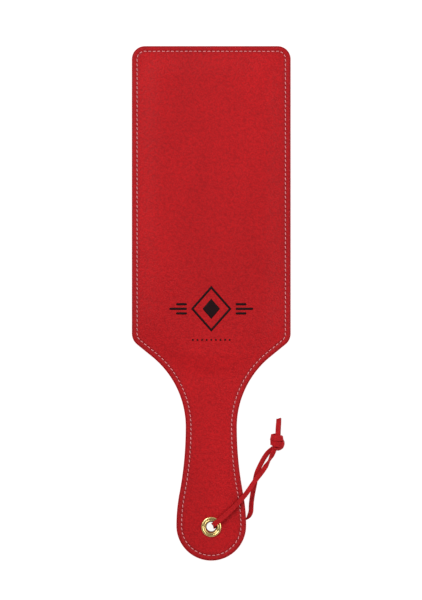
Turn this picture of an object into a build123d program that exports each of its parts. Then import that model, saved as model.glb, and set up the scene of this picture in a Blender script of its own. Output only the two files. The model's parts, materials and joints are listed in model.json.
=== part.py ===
from build123d import *
import os
from math import atan2, cos, degrees, hypot, radians, sin, tan

# A leather-covered paddle with a wrist lace, lying on its back.
# X runs across it, Y from the pommel to the blade's end, and Z up out of its front face.
# X = Y = 0 is the middle of its outline, and Z = 0 is the surface that it lies on.

# ---- Driving dimensions, in millimetres and degrees ----

# Outline: a chain of tangent arcs from the pommel, up the handle, to the blade's square end
paddle_length = 381.0
blade_width = 117.6
pommel_radius = 25.85
flare_out_radius = 127.7
flare_in_radius = 262.0
flare_turn = 10.8
neck_radius = 67.1
shoulder_turn = 50.9
shoulder_radius = 10.5
corner_radius = 9.65

# Layers: leather, padding on the blade, a stiff board, padding, leather
leather_thickness = 1.1
board_thickness = 2.6
pad_rise = 2.2
edge_coat_thickness = 0.5
edge_coat_rounding = 0.35

# Padding: its outline on the blade, and the eased slope that its edge rises by
pad_margin = 5.5
pad_shoulder_y = -22.0
pad_foot = (22.0, -53.0)
pad_corner_radius = 4.0
crown_steps = [(0.0, 0.0), (5.0, 0.45), (11.0, 0.8), (18.0, 1.0)]

# Stitching
stitch_inset = 3.9
stitch_pitch = 3.38
stitch_length = 2.2
thread_width = 0.8
thread_height = 0.35

# Eyelet and its washer
eyelet_center = (0.0, -165.5)
bore_radius = 3.5
barrel_wall = 0.4
flange_radius = 7.5
inner_crest_radius = 4.4
groove_radius = 5.3
outer_crest_radius = 6.4
flange_height = 1.0
inner_crest_height = 0.95
groove_height = 0.5
mouth_rise = 0.4
washer_radius = 7.0
washer_thickness = 0.3
roll_radius = 4.9
roll_crest_radius = 4.3
roll_depth = 0.3
hole_clearance = 0.05

# Lace: one flat strip through the eyelet, knotted outside the handle
lace_width = 3.6
lace_thickness = 1.25
lace_seat = 2.0
lace_clearance = 0.35
lace_rest_gap = 0.07
front_leg_heading = 41.0
back_leg_heading = 8.0
knot_radius = 3.4
knot_end_rounding = 2.3
knot_wraps = [((48.7, -100.2), 10.3, 4.0), ((48.3, -106.0), 10.9, -6.0)]
tail_cut_slant = 23.6

# Printed emblem, pressed flush into the front: a diamond, bars beside it and a row of dots below
emblem_center = (0.0, -4.0)
emblem_thickness = 0.1
diamond_size = (15.0, 17.0)
diamond_line = 1.6
diamond_core = (6.5, 7.5)
bar_rows = [(3.4, 8.0), (0.0, 13.0), (-3.4, 8.0)]
bar_thickness = 1.7
bar_gap = 18.0
dot_count = 9
dot_pitch = 3.4
dot_radius = 0.7
dot_drop = 23.0

# ---- Heights worked out from the layers ----

back_z = pad_rise
board_back_z = back_z + leather_thickness
board_front_z = board_back_z + board_thickness
front_z = board_front_z + leather_thickness
crown_z = front_z + pad_rise
barrel_radius = bore_radius + barrel_wall
hole_radius = barrel_radius + hole_clearance
washer_z = back_z - washer_thickness
flange_z = front_z + flange_height
inner_crest_z = front_z + inner_crest_height
groove_z = front_z + groove_height
mouth_front_z = front_z + mouth_rise
mouth_back_z = back_z + mouth_rise

# ---- Shapes that several pieces share ----


def outline(height, inset=0.0):
    """The paddle's outline at a height: its right half drawn, mirrored and brought in by the inset."""
    with BuildSketch(Plane.XY.offset(height)) as shape:
        with BuildLine():
            pommel = JernArc((0, -paddle_length / 2), (1, 0), pommel_radius, 90)
            flare_out = JernArc(pommel @ 1, pommel % 1, flare_out_radius, flare_turn)
            flare_in = JernArc(flare_out @ 1, flare_out % 1, flare_in_radius, -flare_turn)
            neck = JernArc(flare_in @ 1, flare_in % 1, neck_radius, -shoulder_turn)
            turn = radians(shoulder_turn)
            reach = blade_width / 2 - shoulder_radius * (1 - cos(turn)) - (neck @ 1).X
            diagonal = Line(neck @ 1, neck @ 1 + (neck % 1) * (reach / sin(turn)))
            shoulder = JernArc(diagonal @ 1, diagonal % 1, shoulder_radius, shoulder_turn)
            side = Line(shoulder @ 1, (blade_width / 2, paddle_length / 2 - corner_radius))
            corner = JernArc(side @ 1, side % 1, corner_radius, 90)
            Line(corner @ 1, (0, paddle_length / 2))
            mirror(about=Plane.YZ)
        make_face()
        if inset:
            offset(amount=-inset)
    return shape.sketch


def pad_outline(height, inset):
    """The padding's outline on the blade, brought in by the inset, with rounded corners."""
    half_width = blade_width / 2 - pad_margin
    top_y = paddle_length / 2 - pad_margin
    with BuildSketch(Plane.XY.offset(height)) as shape:
        with BuildLine():
            foot = Line((0, pad_foot[1]), pad_foot)
            Polyline(foot @ 1, (half_width, pad_shoulder_y), (half_width, top_y), (0, top_y))
            mirror(about=Plane.YZ)
        make_face()
        if inset:
            offset(amount=-inset, kind=Kind.INTERSECTION)
        fillet([vertex for vertex in vertices() if abs(vertex.X) > 1], pad_corner_radius)
    return shape.sketch


def crown(base_z, way, mode=Mode.ADD):
    """A low mound with an eased edge, rising from a base height, up for way 1 or down for way -1."""
    rings = [pad_outline(base_z + way * share * pad_rise, inset) for inset, share in crown_steps]
    loft(rings, ruled=True, mode=mode)


def bore_hole(low_z, high_z):
    """The hole for the eyelet's barrel."""
    with BuildSketch(Plane.XY.offset(low_z)) as hole:
        with Locations(eyelet_center):
            Circle(hole_radius)
    extrude(hole.sketch, amount=high_z - low_z, mode=Mode.SUBTRACT)


def seam_stitches(base_z):
    """One seam's stitches: separate short lengths of thread, evenly spaced along the inset outline."""
    seam = outline(0, stitch_inset).face().outer_wire()
    count = round(seam.length / stitch_pitch)
    places = []
    for index in range(count):
        spot = seam @ (index / count)
        run = seam % (index / count)
        places.append(Location((spot.X, spot.Y, 0), (0, 0, degrees(atan2(run.Y, run.X)))))
    with BuildSketch(Plane.XY.offset(base_z)) as threads:
        with Locations(*places):
            SlotOverall(stitch_length, thread_width)
    extrude(threads.sketch, amount=thread_height)


def bend_radius(before, corner, after):
    """The largest arc that the two runs at a corner leave room for."""
    run_in = Vector(*corner) - Vector(*before)
    run_out = Vector(*after) - Vector(*corner)
    half_turn = radians(run_in.get_angle(run_out) / 2)
    return 0.45 * min(run_in.length, run_out.length) / tan(half_turn)


def strip(name, route, across):
    """The lace's flat strip, swept along straight runs joined by tangent arcs."""
    radii = [bend_radius(*corner) for corner in zip(route, route[1:], route[2:])]
    with BuildLine() as path:
        FilletPolyline(*route, radius=radii)
    with BuildSketch(Plane(origin=route[0], x_dir=across, z_dir=path.wire() % 0)) as section:
        Rectangle(lace_width, lace_thickness)
    sweep(section.sketch, path=path.wire())
    length = path.wire().length
    print(name, "bend radii:", [round(radius, 1) for radius in radii])
    print(name, "length:", round(length, 1), "section times length:", round(length * section.sketch.area, 1))


def around_eyelet(radius, heading, height):
    """A point at a distance and heading from the eyelet's axis."""
    angle = radians(heading)
    return (eyelet_center[0] + radius * cos(angle), eyelet_center[1] + radius * sin(angle), height)


# ---- Covers, padding and board ----

with BuildPart() as front_cover:
    extrude(outline(board_front_z, edge_coat_thickness), amount=leather_thickness)
    crown(front_z, 1)
    crown(board_front_z, 1, mode=Mode.SUBTRACT)
    bore_hole(board_front_z, front_z)

with BuildPart() as back_cover:
    extrude(outline(back_z, edge_coat_thickness), amount=leather_thickness)
    crown(back_z, -1)
    crown(board_back_z, -1, mode=Mode.SUBTRACT)
    bore_hole(back_z, board_back_z)

with BuildPart() as front_pad:
    crown(board_front_z, 1)

with BuildPart() as back_pad:
    crown(board_back_z, -1)

with BuildPart() as stiffener_board:
    extrude(outline(board_back_z, edge_coat_thickness), amount=board_thickness)
    bore_hole(board_back_z, board_front_z)

with BuildPart() as edge_coat:
    extrude(outline(back_z), amount=front_z - back_z)
    rims = edges().group_by(Axis.Z)[0] + edges().group_by(Axis.Z)[-1]
    fillet(rims, edge_coat_rounding)
    extrude(outline(back_z, edge_coat_thickness), amount=front_z - back_z, mode=Mode.SUBTRACT)

# ---- Stitching ----

with BuildPart() as front_stitches:
    seam_stitches(front_z)

with BuildPart() as back_stitches:
    seam_stitches(back_z - thread_height)

# ---- Printed emblem ----

with BuildSketch(Plane.XY.offset(crown_z)) as emblem:
    wide, tall = diamond_size
    core_wide, core_tall = diamond_core
    inner = 1 - diamond_line * hypot(wide, tall) / (wide * tall)
    with Locations(emblem_center):
        Polygon((wide, 0), (0, tall), (-wide, 0), (0, -tall))
        Polygon(
            (wide * inner, 0),
            (0, tall * inner),
            (-wide * inner, 0),
            (0, -tall * inner),
            mode=Mode.SUBTRACT,
        )
        Polygon((core_wide, 0), (0, core_tall), (-core_wide, 0), (0, -core_tall))
    for row, bar_length in bar_rows:
        middle = bar_gap + bar_length / 2
        with Locations(*[(side * middle, emblem_center[1] + row) for side in (-1, 1)]):
            SlotOverall(bar_length, bar_thickness)
    with Locations((emblem_center[0], emblem_center[1] - dot_drop)):
        with GridLocations(dot_pitch, 1, dot_count, 1):
            Circle(dot_radius)

with BuildPart() as printed_emblem:
    extrude(emblem.sketch, amount=-emblem_thickness)

with front_cover:
    add(printed_emblem.part, mode=Mode.SUBTRACT)

# ---- Eyelet ----

with BuildPart() as eyelet_flange:
    with BuildSketch(Plane(origin=(*eyelet_center, 0), x_dir=(1, 0, 0), z_dir=(0, -1, 0))):
        with BuildLine():
            mouth = (bore_radius, mouth_front_z)
            groove = (groove_radius, groove_z)
            roll = (roll_radius, washer_z)
            end = (bore_radius, mouth_back_z)
            Line(end, mouth)
            ThreePointArc(mouth, (inner_crest_radius, inner_crest_z), groove)
            ThreePointArc(groove, (outer_crest_radius, flange_z), (flange_radius, front_z))
            Polyline((flange_radius, front_z), (barrel_radius, front_z), (barrel_radius, washer_z), roll)
            ThreePointArc(roll, (roll_crest_radius, washer_z - roll_depth), end)
        make_face()
    revolve(axis=Axis((*eyelet_center, 0), (0, 0, 1)))

with BuildPart() as eyelet_washer:
    with BuildSketch(Plane.XY.offset(washer_z)):
        with Locations(eyelet_center):
            Circle(washer_radius)
            Circle(hole_radius, mode=Mode.SUBTRACT)
    extrude(amount=washer_thickness)

# ---- Lace ----

mid_bore_z = (front_z + back_z) / 2
on_surface = lace_thickness / 2 + lace_rest_gap
over_flange = flange_z + lace_clearance + lace_thickness / 2
over_stitches = front_z + thread_height + lace_clearance + lace_thickness / 2

front_route = [
    around_eyelet(lace_seat, front_leg_heading, mid_bore_z),
    around_eyelet(lace_seat, front_leg_heading, over_flange),
    around_eyelet(6.2, front_leg_heading + 1, over_flange),
    (9.9, -157.3, over_flange - 0.2),
    (16.9, -150.8, over_stitches + 0.1),
    (23.4, -143.8, over_stitches),
    (27.2, -138.9, over_stitches - 0.6),
    (30.2, -134.7, 4.6),
    (33.2, -130.6, 2.7),
    (37.6, -125.2, 2.6),
    (41.5, -119.4, 2.2),
    (44.8, -113.3, 2.8),
    (46.6, -108.8, 3.7),
    (47.6, -106.4, 4.2),
]
back_route = [
    around_eyelet(lace_seat, back_leg_heading, mid_bore_z),
    around_eyelet(lace_seat, back_leg_heading, on_surface),
    (8.2, -164.2, on_surface),
    (18.6, -163.0, on_surface),
    (26.4, -160.6, on_surface),
    (29.6, -155.6, on_surface),
    (29.6, -149.4, on_surface),
    (30.8, -140.9, on_surface),
    (32.4, -133.9, on_surface),
    (33.2, -127.2, on_surface),
    (36.1, -120.6, on_surface),
    (39.4, -114.4, on_surface),
    (42.8, -109.8, 1.0),
    (45.8, -107.0, 1.6),
]
front_tail_route = [
    (49.2, -98.6, 4.4),
    (49.3, -93.2, 3.2),
    (49.8, -88.6, 2.0),
    (50.1, -84.0, 1.9),
]
back_tail_route = [
    (49.8, -98.6, 2.2),
    (50.0, -93.4, 0.8),
    (50.3, -89.0, on_surface),
    (50.5, -84.0, on_surface),
]

with BuildPart() as lace_front_leg:
    heading = radians(front_leg_heading)
    strip("lace_front_leg", front_route, (-sin(heading), cos(heading), 0))

with BuildPart() as lace_back_leg:
    heading = radians(back_leg_heading)
    strip("lace_back_leg", back_route, (-sin(heading), cos(heading), 0))

slant = radians(tail_cut_slant)

with BuildPart() as lace_front_tail:
    strip("lace_front_tail", front_tail_route, (1, 0, 0))
    split(bisect_by=Plane(origin=(50.0, -85.4, 0), z_dir=(-sin(slant), cos(slant), 0)), keep=Keep.BOTTOM)

with BuildPart() as lace_back_tail:
    strip("lace_back_tail", back_tail_route, (1, 0, 0))
    split(bisect_by=Plane(origin=(50.4, -85.9, 0), z_dir=(-sin(slant), cos(slant), 0)), keep=Keep.BOTTOM)

with BuildPart() as lace_knot:
    for (wrap_x, wrap_y), wrap_length, wrap_lean in knot_wraps:
        lean = radians(wrap_lean)
        wrap = Plane(origin=(wrap_x, wrap_y, knot_radius), x_dir=(cos(lean), sin(lean), 0), z_dir=(0, 0, 1))
        with BuildSketch(wrap):
            RectangleRounded(wrap_length, 2 * knot_radius, knot_end_rounding)
            with Locations((0, -knot_radius)):
                Rectangle(wrap_length, 2 * knot_radius, mode=Mode.SUBTRACT)
        revolve(axis=Axis(wrap.origin, wrap.x_dir))
    for strand in (lace_front_leg, lace_back_leg, lace_front_tail, lace_back_tail):
        add(strand.part, mode=Mode.SUBTRACT)

# ---- Files ----

pieces = {
    "front_cover": front_cover,
    "back_cover": back_cover,
    "front_pad": front_pad,
    "back_pad": back_pad,
    "stiffener_board": stiffener_board,
    "edge_coat": edge_coat,
    "front_stitches": front_stitches,
    "back_stitches": back_stitches,
    "printed_emblem": printed_emblem,
    "eyelet_flange": eyelet_flange,
    "eyelet_washer": eyelet_washer,
    "lace_front_leg": lace_front_leg,
    "lace_back_leg": lace_back_leg,
    "lace_knot": lace_knot,
    "lace_front_tail": lace_front_tail,
    "lace_back_tail": lace_back_tail,
}
os.makedirs("parts", exist_ok=True)
for name, piece in pieces.items():
    piece.part.label = name
    export_step(piece.part, f"parts/{name}.step")
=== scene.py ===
import json
import math

import bpy
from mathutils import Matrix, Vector, geometry, noise


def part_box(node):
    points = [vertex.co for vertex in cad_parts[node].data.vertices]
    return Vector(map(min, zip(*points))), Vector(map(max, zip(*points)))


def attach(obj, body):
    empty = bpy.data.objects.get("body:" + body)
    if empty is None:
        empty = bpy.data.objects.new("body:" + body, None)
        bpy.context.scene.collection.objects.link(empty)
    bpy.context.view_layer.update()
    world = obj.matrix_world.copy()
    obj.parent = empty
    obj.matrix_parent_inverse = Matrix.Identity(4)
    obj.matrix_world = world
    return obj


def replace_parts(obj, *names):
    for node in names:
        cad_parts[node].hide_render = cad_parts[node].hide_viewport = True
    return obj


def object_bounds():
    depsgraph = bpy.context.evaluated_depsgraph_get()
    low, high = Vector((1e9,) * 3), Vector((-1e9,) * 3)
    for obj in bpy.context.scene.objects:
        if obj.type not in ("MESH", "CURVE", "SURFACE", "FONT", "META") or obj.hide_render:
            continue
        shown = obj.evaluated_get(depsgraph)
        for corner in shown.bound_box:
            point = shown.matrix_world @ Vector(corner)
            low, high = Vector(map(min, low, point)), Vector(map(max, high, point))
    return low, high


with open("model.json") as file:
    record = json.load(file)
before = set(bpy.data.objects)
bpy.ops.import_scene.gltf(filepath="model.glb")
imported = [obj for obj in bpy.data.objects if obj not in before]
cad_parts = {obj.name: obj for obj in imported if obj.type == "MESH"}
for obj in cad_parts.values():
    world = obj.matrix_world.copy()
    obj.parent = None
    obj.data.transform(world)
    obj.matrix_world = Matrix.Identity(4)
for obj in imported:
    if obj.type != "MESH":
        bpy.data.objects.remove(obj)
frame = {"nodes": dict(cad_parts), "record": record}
cad_low, cad_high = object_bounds()

# A leather paddle with a wrist lace, lying on its back. Metres throughout.

# ---- Values from the frame ----

edge_low, edge_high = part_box("edge_coat")
cover_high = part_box("front_cover")[1]
board_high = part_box("stiffener_board")[1]
flange_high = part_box("eyelet_flange")[1]
washer_low, washer_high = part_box("eyelet_washer")
EYELET = Vector(frame["record"]["behaviour"]["joints"][0]["pos_m"])
HALF_WIDTH = edge_high.x
HALF_LENGTH = edge_high.y
FACE_Z = edge_high.z
BACK_Z = edge_low.z
CROWN_Z = cover_high.z
MIDDLE_Z = (FACE_Z + BACK_Z) / 2
LEATHER = FACE_Z - board_high.z

# ---- The outline: a chain of tangent arcs, and what lies along it ----

POMMEL_RADIUS = 0.02585
FLARE_OUT_RADIUS = 0.1277
FLARE_IN_RADIUS = 0.262
FLARE_TURN = math.radians(10.8)
NECK_RADIUS = 0.0671
SHOULDER_TURN = math.radians(50.9)
SHOULDER_RADIUS = 0.0105
CORNER_RADIUS = 0.00965

COAT = 0.0005
SEAM_INSET = 0.0039
STITCH_PITCH = 0.00338
STITCH_SAMPLES = 6
STITCH_LENGTH = 0.0024
THREAD_RADIUS = 0.00027

PAD_HALF_WIDTH = HALF_WIDTH - 0.0048
PAD_TOP = HALF_LENGTH - 0.0048
PAD_SHOULDER_Y = -0.022
PAD_FOOT_Y = -0.0545
PAD_EASE = 0.019
EASE_POWER = 1.35

# How deep and how wide the leather is shaped near its edge
RIM_DROP, RIM_REACH = 0.00030, 0.00028
GROOVE_DEPTH, GROOVE_REACH = 0.00030, 0.00062
PIT_DEPTH, PIT_REACH = 0.00050, 0.00045
OUTER_SWELL, OUTER_SWELL_INSET, OUTER_SWELL_REACH = 0.00006, 0.0021, 0.0008
INNER_SWELL, INNER_SWELL_INSET, INNER_SWELL_REACH = 0.00010, 0.0052, 0.0011
PUCKER = 0.35

# Slight unevenness of the stretched leather: waves to a metre, and their height
BROAD_WAVES, BROAD_LIFT = 22, 0.00009
FINE_WAVES, FINE_LIFT = 90, 0.00002
LIFT_BIAS = -0.00004
FRONT_SEED, BACK_SEED = 1.7, 8.3


def stretches():
    """The right half as (length, turn) stretches from the pommel's foot to the blade's end."""
    arcs = [
        (POMMEL_RADIUS, math.pi / 2),
        (FLARE_OUT_RADIUS, FLARE_TURN),
        (FLARE_IN_RADIUS, -FLARE_TURN),
        (NECK_RADIUS, -SHOULDER_TURN),
    ]
    made = [(radius * abs(turn), turn) for radius, turn in arcs]
    neck_end = walk(made, 0.0, sum(length for length, _ in made))[0]
    reach = HALF_WIDTH - SHOULDER_RADIUS * (1 - math.cos(SHOULDER_TURN)) - neck_end.x
    made.append((reach / math.sin(SHOULDER_TURN), 0.0))
    made.append((SHOULDER_RADIUS * SHOULDER_TURN, SHOULDER_TURN))
    side_start = walk(made, 0.0, sum(length for length, _ in made))[0]
    made.append((HALF_LENGTH - CORNER_RADIUS - side_start.y, 0.0))
    made.append((CORNER_RADIUS * math.pi / 2, math.pi / 2))
    made.append((HALF_WIDTH - CORNER_RADIUS, 0.0))
    return made


def walk(chain, inset, distance):
    """The point and heading at a distance along a chain of stretches, starting at the foot."""
    x, y, heading = 0.0, -HALF_LENGTH + inset, 0.0
    for length, turn in chain:
        part = min(distance, length)
        if turn:
            radius = length / turn
            turned = part / radius
            x += radius * (math.sin(heading + turned) - math.sin(heading))
            y -= radius * (math.cos(heading + turned) - math.cos(heading))
            heading += turned
        else:
            x += part * math.cos(heading)
            y += part * math.sin(heading)
        distance -= part
        if distance <= 0:
            break
    return Vector((x, y)), heading


def seam_stations():
    """Points along the seam, evenly spaced, each with its inward normal and run direction."""
    chain = [(length - SEAM_INSET * turn, turn) for length, turn in stretches()]
    half = sum(length for length, _ in chain)
    stitches = 2 * round(half / STITCH_PITCH)
    steps = stitches * STITCH_SAMPLES // 2
    right = [walk(chain, SEAM_INSET, half * index / steps) for index in range(steps + 1)]
    left = [(Vector((-p.x, p.y)), -heading) for p, heading in reversed(right[1:-1])]
    made = []
    for point, heading in right + left:
        run = Vector((math.cos(heading), math.sin(heading)))
        made.append((point, Vector((-run.y, run.x)), run))
    return made, stitches


STATIONS, STITCHES = seam_stations()
PITCH = (STATIONS[1][0] - STATIONS[0][0]).length * STITCH_SAMPLES


def smooth(t):
    """An ease from 0 to 1, level at its top."""
    t = min(max(t, 0.0), 1.0)
    return math.sin(t * math.pi / 2) ** EASE_POWER


def crown(x, y):
    """The padding's lift at a point: full in the middle of the blade, none on the handle."""
    side = (PAD_HALF_WIDTH - abs(x)) / PAD_EASE
    top = (PAD_TOP - y) / PAD_EASE
    foot = (y - PAD_FOOT_Y) / PAD_EASE
    diagonal = (PAD_HALF_WIDTH - abs(x) + y - PAD_SHOULDER_Y) / (math.sqrt(2) * PAD_EASE)
    return (CROWN_Z - FACE_Z) * smooth(side) * smooth(top) * smooth(foot) * smooth(diagonal)


def bell(distance, width):
    return math.exp(-((distance / width) ** 2))


def border(inset, phase):
    """The leather's height near its edge: a rounded rim, and a seam that pulls it down."""
    along = (0.5 - abs(phase)) * PITCH
    across = inset - SEAM_INSET
    height = -RIM_DROP * bell(inset - COAT, RIM_REACH)
    height -= GROOVE_DEPTH * bell(across, GROOVE_REACH)
    height -= PIT_DEPTH * bell(math.hypot(across, along), PIT_REACH)
    height += OUTER_SWELL * bell(inset - OUTER_SWELL_INSET, OUTER_SWELL_REACH)
    pucker = 1 - PUCKER * math.cos(2 * math.pi * phase)
    return height + INNER_SWELL * bell(inset - INNER_SWELL_INSET, INNER_SWELL_REACH) * pucker


def painted_seam_shade(inset, phase):
    """Painted shade near the leather's edge: how much its colour is darkened at the rounded rim, in the
    seam's groove and its needle pits; the border strip outside the seam is a little darker too.
    """
    along = (0.5 - abs(phase)) * PITCH
    across = inset - SEAM_INSET
    rim = 0.42 * bell(inset - COAT, 0.0005)
    groove = 0.26 * bell(across, 0.0009)
    pits = 0.60 * bell(math.hypot(across, along), 0.00050)
    outside_seam = 0.10 * (1 - smooth((inset - 0.0042) / 0.003))
    return min(max(rim, groove, pits) + outside_seam, 1.0)


def leather_lift(x, y, seed):
    """Slight unevenness of the stretched leather."""
    broad = noise.noise(Vector((x * BROAD_WAVES + seed, y * BROAD_WAVES, seed)))
    fine = noise.noise(Vector((x * FINE_WAVES + seed, y * FINE_WAVES, seed)))
    return BROAD_LIFT * broad + FINE_LIFT * fine + LIFT_BIAS


# ---- Mesh helpers ----


def new_object(name, data):
    """An object in the scene."""
    made = bpy.data.objects.new(name, data)
    bpy.context.scene.collection.objects.link(made)
    return made


def new_piece(name, vertices, faces, material, body):
    """A smooth-shaded piece that rides on a body and takes its finish from a material slot."""
    mesh = bpy.data.meshes.new(name)
    mesh.from_pydata([tuple(v) for v in vertices], [], faces)
    mesh.validate()
    mesh.update()
    for polygon in mesh.polygons:
        polygon.use_smooth = True
    piece = new_object(name, mesh)
    piece.data.materials.append(material)
    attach(piece, body)
    return piece


def mirrored(vertices, faces):
    """The same mesh mirrored in the paddle's middle plane."""
    flipped = [Vector((v.x, v.y, 2 * MIDDLE_Z - v.z)) for v in vertices]
    return flipped, [tuple(reversed(face)) for face in faces]


def ring_faces(outer, inner, count):
    """Quads between two closed rings of vertices that start at these indices."""
    return [
        (outer + i, outer + (i + 1) % count, inner + (i + 1) % count, inner + i)
        for i in range(count)
    ]


def inside(point, loop):
    """Whether a point is inside a closed loop of points."""
    found = False
    previous = loop[-1]
    for corner in loop:
        if (corner.y > point.y) != (previous.y > point.y):
            cross = (previous.x - corner.x) * (point.y - corner.y) / (previous.y - corner.y)
            if point.x < cross + corner.x:
                found = not found
        previous = corner
    return found


ROW_SHARE = 0.866  # the height of a triangle with equal sides, as a share of a side
SAME_POINT = 1e-7


def filled(loops, spacing, clear):
    """Triangles over the area of the first loop less the others, with points inside on a staggered grid.
    Also gives, for each vertex, the numbers of the points that it was made from."""
    edges, points = [], []
    for loop in loops:
        start = len(points)
        points += [Vector(p) for p in loop]
        edges += [(start + i, start + (i + 1) % len(loop)) for i in range(len(loop))]
    fence = points[:]
    low = Vector((min(p.x for p in loops[0]), min(p.y for p in loops[0])))
    high = Vector((max(p.x for p in loops[0]), max(p.y for p in loops[0])))
    buckets = {}
    for p in fence:
        buckets.setdefault((int(p.x // clear), int(p.y // clear)), []).append(p)
    row = 0
    y = low.y + spacing / 2
    while y < high.y:
        x = low.x + spacing / 2 + (row % 2) * spacing / 2
        while x < high.x:
            p = Vector((x, y))
            cell = (int(x // clear), int(y // clear))
            cells = [(cell[0] + i, cell[1] + j) for i in (-1, 0, 1) for j in (-1, 0, 1)]
            near = [q for key in cells for q in buckets.get(key, [])]
            if all((p - q).length > clear for q in near) and inside(p, loops[0]):
                if not any(inside(p, hole) for hole in loops[1:]):
                    points.append(p)
            x += spacing
        y += spacing * ROW_SHARE
        row += 1
    made = geometry.delaunay_2d_cdt(points, edges, [], 1, SAME_POINT)
    vertices, triangles = made[0], []
    for face in made[2]:
        middle = sum((vertices[i] for i in face), Vector((0, 0))) / len(face)
        if inside(middle, loops[0]) and not any(inside(middle, hole) for hole in loops[1:]):
            triangles.append(tuple(face))
    return vertices, triangles, made[3]


def slab(loops, spacing, clear, top, foot):
    """A closed slab over the area of the loops. top(point) and foot(point) are its heights."""
    points, triangles, sources = filled(loops, spacing, clear)
    size = len(points)
    vertices = [Vector((p.x, p.y, height(p))) for height in (top, foot) for p in points]
    faces = [tuple(face) for face in triangles]
    faces += [tuple(size + i for i in reversed(face)) for face in triangles]
    position = {source[0]: i for i, source in enumerate(sources) if source}
    start = 0
    for loop in loops:
        for i in range(len(loop)):
            a, b = position[start + i], position[start + (i + 1) % len(loop)]
            faces.append((size + a, size + b, b, a))
        start += len(loop)
    return vertices, faces


def circle(center, radius, count):
    return [
        Vector((center.x + radius * math.cos(a), center.y + radius * math.sin(a)))
        for a in (2 * math.pi * i / count for i in range(count))
    ]


# ---- Materials ----

# The leather's dye: the face and its darker clouds; and a dark red for the painted shade in its creases and
# seam
RED = (0.500, 0.0066, 0.0098)
DEEP_RED = (0.415, 0.0052, 0.0080)
PAINTED_CREASE_SHADE = (0.085, 0.0035, 0.0060)


class Shader:
    """A node material with a Principled surface."""

    def __init__(self, name, **values):
        self.material = bpy.data.materials.new(name)
        self.material.use_nodes = True
        self.nodes = self.material.node_tree.nodes
        self.links = self.material.node_tree.links
        self.surface = self.nodes["Principled BSDF"]
        for socket, value in values.items():
            self.surface.inputs[socket.replace("_", " ")].default_value = value
        self.place = self.add("ShaderNodeTexCoord").outputs["Object"]

    def add(self, kind, **values):
        node = self.nodes.new(kind)
        for key, value in values.items():
            if hasattr(node, key):
                setattr(node, key, value)
            else:
                node.inputs[key.replace("_", " ")].default_value = value
        return node

    def link(self, output, node, socket):
        self.links.new(output, node.inputs[socket])

    def noise(self, scale, detail=3.0, roughness=0.55, stretch=None):
        node = self.add("ShaderNodeTexNoise", Scale=scale, Detail=detail, Roughness=roughness)
        source = self.place
        if stretch:
            mapping = self.add("ShaderNodeMapping", Scale=stretch)
            self.link(source, mapping, "Vector")
            source = mapping.outputs["Vector"]
        self.link(source, node, "Vector")
        return node.outputs["Fac"]

    def cells(self, scale):
        """Round pores: 0 in the middle of each, rising outwards."""
        node = self.add("ShaderNodeTexVoronoi", feature="F1", Scale=scale)
        self.link(self.place, node, "Vector")
        return node.outputs["Distance"]

    def warp(self, scale, reach):
        """Shifts the coordinates a little, so that the cells after it are irregular."""
        node = self.add("ShaderNodeTexNoise", Scale=scale, Detail=2.0)
        self.link(self.place, node, "Vector")
        shift = self.add("ShaderNodeVectorMath", operation="MULTIPLY_ADD")
        self.link(node.outputs["Color"], shift, 0)
        shift.inputs[1].default_value = (reach, reach, reach)
        self.link(self.place, shift, 2)
        self.place = shift.outputs[0]

    def pebbles(self, scale):
        """Rounded grains: 1 in the middle of each, falling to the creases between them."""
        node = self.add("ShaderNodeTexVoronoi", feature="SMOOTH_F1", Scale=scale, Smoothness=0.35)
        self.link(self.place, node, "Vector")
        return self.spread(node.outputs["Distance"], 0.15, 0.75, 1.0, 0.0)

    def weighted(self, *terms):
        """The sum of some values, each times its weight."""
        total = None
        for value, weight in terms:
            node = self.add("ShaderNodeMath", operation="MULTIPLY_ADD")
            self.link(value, node, 0)
            node.inputs[1].default_value = weight
            node.inputs[2].default_value = 0.0
            if total is not None:
                self.link(total, node, 2)
            total = node.outputs[0]
        return total

    def spread(self, value, low, high, to_low, to_high):
        node = self.add("ShaderNodeMapRange", clamp=True)
        self.link(value, node, "Value")
        limits = {"From Min": low, "From Max": high, "To Min": to_low, "To Max": to_high}
        for socket, number in limits.items():
            node.inputs[socket].default_value = number
        return node.outputs["Result"]

    def ramp(self, value, stops):
        node = self.add("ShaderNodeValToRGB")
        ramp = node.color_ramp
        while len(ramp.elements) < len(stops):
            ramp.elements.new(0.5)
        for element, (position, colour) in zip(ramp.elements, stops):
            element.position = position
            element.color = (*colour, 1.0)
        self.link(value, node, "Fac")
        return node.outputs["Color"]

    def mix(self, amount, a, b):
        node = self.add("ShaderNodeMix", data_type="RGBA")
        for socket, value in ((0, amount), (6, a), (7, b)):
            if isinstance(value, (int, float)):
                node.inputs[socket].default_value = value
            elif isinstance(value, tuple):
                node.inputs[socket].default_value = (*value, 1.0)
            else:
                self.links.new(value, node.inputs[socket])
        return node.outputs[2]

    def colour(self, output):
        self.link(output, self.surface, "Base Color")

    def roughness(self, output):
        self.link(output, self.surface, "Roughness")

    def bump(self, height, distance, strength=1.0):
        node = self.add("ShaderNodeBump", Strength=strength, Distance=distance)
        self.link(height, node, "Height")
        self.link(node.outputs["Normal"], self.surface, "Normal")


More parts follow.
